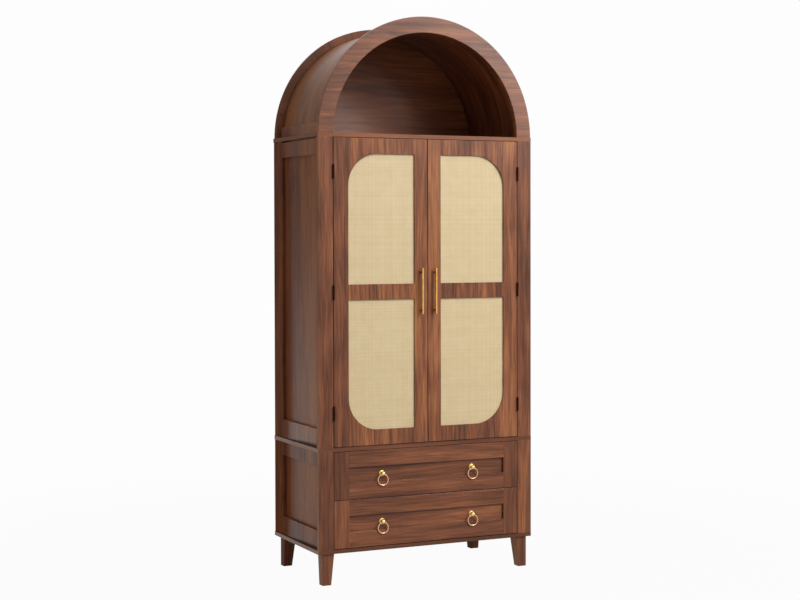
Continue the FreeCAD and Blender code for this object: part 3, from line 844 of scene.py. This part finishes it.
for side, level_name in windows:
    bm = woven.copy()
    if side == "right":
        flip(bm, "x", 0.0)
    if level_name == "lower":
        flip(bm, "z", CANE_MIDDLE)
    name = side + "_" + level_name
    piece = finished_piece(name + "_weave", bm, (warp_cane, weft_cane), side + "_door")
    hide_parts(name + "_cane")
woven.free()
print("woven sheets:", len(windows))

# %% [markdown]
# ## Backing boards
# Nothing shows through the cane, so a thin board of pale wood lies behind each sheet. It
# is a flat outline of four corners, one of them rounded with a vertex bevel, and then
# extruded.

# %% Board behind each cane sheet
BACKING_STOPS = [(0.24, "C4AB80"), (0.5, "CFB88E"), (0.74, "D8C39C")]
BACKING_GAP = 0.0014
ROUND_SEGMENTS = 16
backing_board = level_walnut("board", seed, wood="backing", stops=BACKING_STOPS, rough=0.6)


def backing(side, level_name):
    """Flat board in the rebate, from just behind the weave to the back of the cane's space."""
    node = side + "_" + level_name + "_cane"
    low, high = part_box(node)
    front = low.y + BACKING_GAP
    outline = [(low.x, low.z), (high.x, low.z), (high.x, high.z), (low.x, high.z)]
    bm = bmesh.new()
    bm.faces.new([bm.verts.new((x, front, z)) for x, z in outline])
    place = outer_corner(node, side, level_name)[0]
    rounded = min(bm.verts, key=lambda v: math.hypot(v.co.x - place.x, v.co.z - place.z))
    bmesh.ops.bevel(bm, geom=[rounded], offset=CORNER_RADIUS, segments=ROUND_SEGMENTS, profile=0.5,
                    affect="VERTICES", material=-1)
    body = bmesh.ops.extrude_face_region(bm, geom=bm.faces[:])["geom"]
    bmesh.ops.translate(bm, verts=only(bmesh.types.BMVert, body), vec=(0.0, high.y - front, 0.0))
    bmesh.ops.recalc_face_normals(bm, faces=bm.faces[:])
    name = side + "_" + level_name + "_backing"
    return finished_piece(name, bm, (backing_board,), side + "_door")


boards = [backing(side, level_name) for side, level_name in windows]
print("backing boards:", len(boards))

# %% [markdown]
# ## Screw heads
# Each handle and knob is held by a screw from behind, and the back panels by rows of
# small screws. A head is a short cone, its top face inset and pushed in as a socket,
# and its rim rounded with a bevel.

# %% One screw head
HEAD_SIDES = 12
HEAD_TAPER = 0.8
RIM_SHARE = 0.3
SOCKET_SHARE = 0.6
RIM_EASE_SHARE = 0.2
BACKWARDS = Vector((0.0, 1.0, 0.0))


def screw_head(bm, place, radius, height):
    """Round head with a socket, standing on a surface that faces backwards."""
    turn = Vector((0.0, 0.0, 1.0)).rotation_difference(BACKWARDS).to_matrix().to_4x4()
    seat = Matrix.Translation(place + BACKWARDS * (height / 2)) @ turn
    made = bmesh.ops.create_cone(bm, cap_ends=True, segments=HEAD_SIDES, radius1=radius,
                                 radius2=radius * HEAD_TAPER, depth=height, matrix=seat)
    faces = {face for vert in made["verts"] for face in vert.link_faces}
    top = max(faces, key=lambda face: face.calc_center_median().dot(BACKWARDS))
    wall = bmesh.ops.inset_individual(bm, faces=[top], thickness=radius * RIM_SHARE)["faces"]
    bmesh.ops.translate(bm, verts=top.verts[:], vec=-BACKWARDS * (height * SOCKET_SHARE))
    wall_edges = dict.fromkeys(edge for face in wall for edge in face.edges)
    rim = [edge for edge in wall_edges if not any(vert in top.verts[:] for vert in edge.verts)]
    bmesh.ops.bevel(bm, geom=rim, offset=height * RIM_EASE_SHARE, segments=2, profile=0.5,
                    affect="EDGES", material=-1)


def screws(name, places, radius, height, body):
    """A group of screw heads as one piece."""
    bm = bmesh.new()
    for place in places:
        screw_head(bm, Vector(place), radius, height)
    bmesh.ops.recalc_face_normals(bm, faces=bm.faces[:])
    return finished_piece(name, bm, (zinc,), body)


print("screw heads have", HEAD_SIDES, "sides")

# %% [markdown]
# ## Where the screws go
# A handle's screws sit behind its two posts, and a knob's screw behind its rosette. Down
# both edges of each back panel, screws follow at an even pitch of about 160 mm.

# %% Place the screws
PULL_SCREW = {"radius": 0.0045, "height": 0.0022}
PANEL_SCREW = {"radius": 0.0035, "height": 0.0014}
HANDLE_POST_SPACING = 0.128
ROSETTE_RADIUS = 0.010
PANEL_SCREW_PITCH = 0.16
PANEL_END_INSET = 0.015
PANEL_EDGE_INSET = 0.010
for side in ("left", "right"):
    low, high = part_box(side + "_handle")
    middle = (low + high) / 2
    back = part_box(side + "_door_frame")[1].y
    places = [(middle.x, back, middle.z + end * HANDLE_POST_SPACING / 2) for end in (-1, 1)]
    screws(side + "_handle_screws", places, body=side + "_door", **PULL_SCREW)
for level_name in ("lower", "upper"):
    low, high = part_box(level_name + "_pull_knobs")
    z = (low.z + high.z) / 2
    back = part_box(level_name + "_drawer_panel")[1].y
    places = [(x, back, z) for x in (low.x + ROSETTE_RADIUS, high.x - ROSETTE_RADIUS)]
    screws(level_name + "_pull_screws", places, body=level_name + "_drawer", **PULL_SCREW)
places = []
for name in ("lower_back_panel", "upper_back_panel"):
    low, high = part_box(name)
    count = max(2, round((high.z - low.z) / PANEL_SCREW_PITCH))
    run = high.z - low.z - 2 * PANEL_END_INSET
    for k in range(count + 1):
        z = low.z + PANEL_END_INSET + run * k / count
        places += [(x, high.y, z) for x in (low.x + PANEL_EDGE_INSET, high.x - PANEL_EDGE_INSET)]
screws("back_screws", places, body="carcass", **PANEL_SCREW)
print("screws in the back panels:", len(places))

# %% [markdown]
# ## Sky
# The studio is plain white. The sky shows white to the camera and in reflections, through
# the Light Path node, while a weaker sky lights the piece, so the wood is not washed out.
# A dark grey curtain to the left rear, which the camera does not see, keeps the left side
# wall from mirroring too much white.

# %% Sky
FILL = 0.36
PAPER_WHITE = 0.985
CURTAIN = 0.78
CURTAIN_WAY = (-0.36, 0.93)
CURTAIN_EDGE = (0.72, 0.97)
WHITE = (1.0, 1.0, 1.0, 1.0)


def seen_directly(tree, path, surface, white, share=1.0):
    """Shader that shows white to the camera and in reflections, and the surface to all other light."""
    seen = calc(tree, "MAXIMUM", path.outputs["Is Camera Ray"], path.outputs["Is Glossy Ray"])
    seen = calc(tree, "MAXIMUM", seen, path.outputs["Is Transmission Ray"])
    mix = tree.nodes.new("ShaderNodeMixShader")
    tree.links.new(calc(tree, "MULTIPLY", seen, share), mix.inputs["Fac"])
    tree.links.new(surface, mix.inputs[1])
    tree.links.new(white, mix.inputs[2])
    return mix.outputs["Shader"]


world = bpy.data.worlds.new("studio")
world.use_nodes = True
tree = world.node_tree
fill = tree.nodes["Background"]
fill.inputs["Strength"].default_value = FILL
fill.inputs["Color"].default_value = WHITE
white = tree.nodes.new("ShaderNodeBackground")
white.inputs["Color"].default_value = WHITE
path = tree.nodes.new("ShaderNodeLightPath")
sky = seen_directly(tree, path, fill.outputs["Background"], white.outputs["Background"])
tree.links.new(sky, tree.nodes["World Output"].inputs["Surface"])
towards = tree.nodes.new("ShaderNodeSeparateXYZ")
tree.links.new(tree.nodes.new("ShaderNodeTexCoord").outputs["Generated"], towards.inputs["Vector"])
to_curtain = calc(tree, "ADD", calc(tree, "MULTIPLY", towards.outputs["X"], CURTAIN_WAY[0]),
                  calc(tree, "MULTIPLY", towards.outputs["Y"], CURTAIN_WAY[1]))
in_reflections = calc(tree, "SUBTRACT", 1.0, path.outputs["Is Camera Ray"])
curtain = calc(tree, "MULTIPLY", remap(tree, to_curtain, *CURTAIN_EDGE, 0.0, CURTAIN), in_reflections)
brightness = calc(tree, "MULTIPLY", calc(tree, "SUBTRACT", 1.0, curtain), PAPER_WHITE)
tree.links.new(brightness, white.inputs["Strength"])
scene.world = world
print("sky fills with", FILL, "and shows", PAPER_WHITE)

# %% [markdown]
# ## Floor
# The floor is a wide painted sheet. Like the sky it shows almost white to the camera and
# in reflections, but near the cabinet a small share of its real surface is mixed in,
# which keeps the soft shadow under the legs.

# %% Floor
FLOOR_HALF = 25.0
FLOOR_STOPS = [(0.3, "A2A2A0"), (0.7, "A8A8A6")]
MOTTLE_RATES = (3.0, 3.0)
FLOOR_ROUGH = 0.8
FLOOR_SPECULAR = 0.1
NEAR_WHITE = 0.975
SHADOW_EDGE = (1.0, 3.0)
bm = bmesh.new()
bmesh.ops.create_grid(bm, x_segments=1, y_segments=1, size=FLOOR_HALF)
floor_mesh = bpy.data.meshes.new("floor")
bm.to_mesh(floor_mesh)
bm.free()
floor = bpy.data.objects.new("floor", floor_mesh)
scene.collection.objects.link(floor)

floor_paint, tree, shader, (x, y, z) = fresh_material("floor_paint")
mottle = grain_noise(tree, x, y, MOTTLE_RATES, 0.0)
tree.links.new(ramp(tree, mottle, FLOOR_STOPS), shader.inputs["Base Color"])
shader.inputs["Roughness"].default_value = FLOOR_ROUGH
shader.inputs["Specular IOR Level"].default_value = FLOOR_SPECULAR
glow = tree.nodes.new("ShaderNodeEmission")
glow.inputs["Strength"].default_value = PAPER_WHITE
paper = remap(tree, from_centre(tree, x, y), *SHADOW_EDGE, NEAR_WHITE, 1.0)
path = tree.nodes.new("ShaderNodeLightPath")
ground = seen_directly(tree, path, shader.outputs["BSDF"], glow.outputs["Emission"], paper)
tree.links.new(ground, tree.nodes["Material Output"].inputs["Surface"])
floor_mesh.materials.append(floor_paint)
print("floor", 2 * FLOOR_HALF, "m wide")

# %% [markdown]
# ## Lamps
# A large soft lamp stands high on the right, so the recesses hold a thin shadow and the
# niche stays dark. A small card on the right brightens the ring and reaches into the left
# of the niche. A round card is there only to be mirrored by the niche's back panel: it
# gives no diffuse light, and light linking keeps it off every other piece.

# %% Lamps
def soft_lamp(name, place, target, width, height, power, shape="RECTANGLE"):
    """Soft box that faces a point on the cabinet."""
    data = bpy.data.lights.new(name, "AREA")
    data.shape = shape
    data.size = width
    data.size_y = height
    data.energy = power
    lamp = bpy.data.objects.new(name, data)
    lamp.location = place
    lamp.rotation_euler = (Vector(target) - Vector(place)).to_track_quat("-Z", "Y").to_euler()
    scene.collection.objects.link(lamp)
    return lamp


key = soft_lamp("key", place=(2.6, -5.5, 6.3), target=(0.0, 0.0, 1.2), width=4.4, height=4.4, power=470.0)
ring_card = soft_lamp("ring_card", place=(2.25, -3.0, 2.5), target=(0.0, 0.0, 1.6), width=1.4, height=1.3,
                      power=51.0)
niche_card = soft_lamp("niche_card", place=(0.92, -3.2, 1.38), target=(0.0, 0.2, 1.6), width=1.3, height=1.3,
                       power=185.0, shape="ELLIPSE")
niche_card.visible_diffuse = False
only_niche = bpy.data.collections.new("only_niche")
only_niche.objects.link(nodes["niche_back_panel"])
niche_card.light_linking.receiver_collection = only_niche
print("lamps:", [(lamp.name, lamp.data.energy) for lamp in (key, ring_card, niche_card)])

# %% [markdown]
# ## Camera
# The view was found by matching the cabinet's known corners to the photograph: the
# camera stands to the left, at about chest height, almost level. A small shift of the
# frame keeps the upright lines nearly parallel, as a view camera does.

# %% Camera
CAMERA_PLACE = (-2.41108, -5.10322, 1.15709)
YAW = math.radians(25.1794)
PITCH = math.radians(1.3339)
ROLL = math.radians(-0.1264)
LENS = 72.907
SENSOR = 36.0
SHIFT_PIXELS = -27.75
PICTURE_WIDTH = 800.0
FARTHEST = 60.0
camera_data = bpy.data.cameras.new("camera")
camera_data.sensor_width = SENSOR
camera_data.lens = LENS
camera_data.shift_y = SHIFT_PIXELS / PICTURE_WIDTH
camera_data.clip_end = FARTHEST
camera = bpy.data.objects.new("camera", camera_data)
scene.collection.objects.link(camera)
level_look = Vector((math.sin(YAW), math.cos(YAW), 0.0))
right = Vector((math.cos(YAW), -math.sin(YAW), 0.0))
look = level_look * math.cos(PITCH) - Vector((0.0, 0.0, math.sin(PITCH)))
up = right.cross(look)
rolled_right = right * math.cos(ROLL) + up * math.sin(ROLL)
rolled_up = up * math.cos(ROLL) - right * math.sin(ROLL)
camera.rotation_euler = Matrix((rolled_right, rolled_up, -look)).transposed().to_euler()
camera.location = CAMERA_PLACE
scene.camera = camera
scene.view_settings.view_transform = "Standard"
print("camera at", [round(value, 2) for value in CAMERA_PLACE])
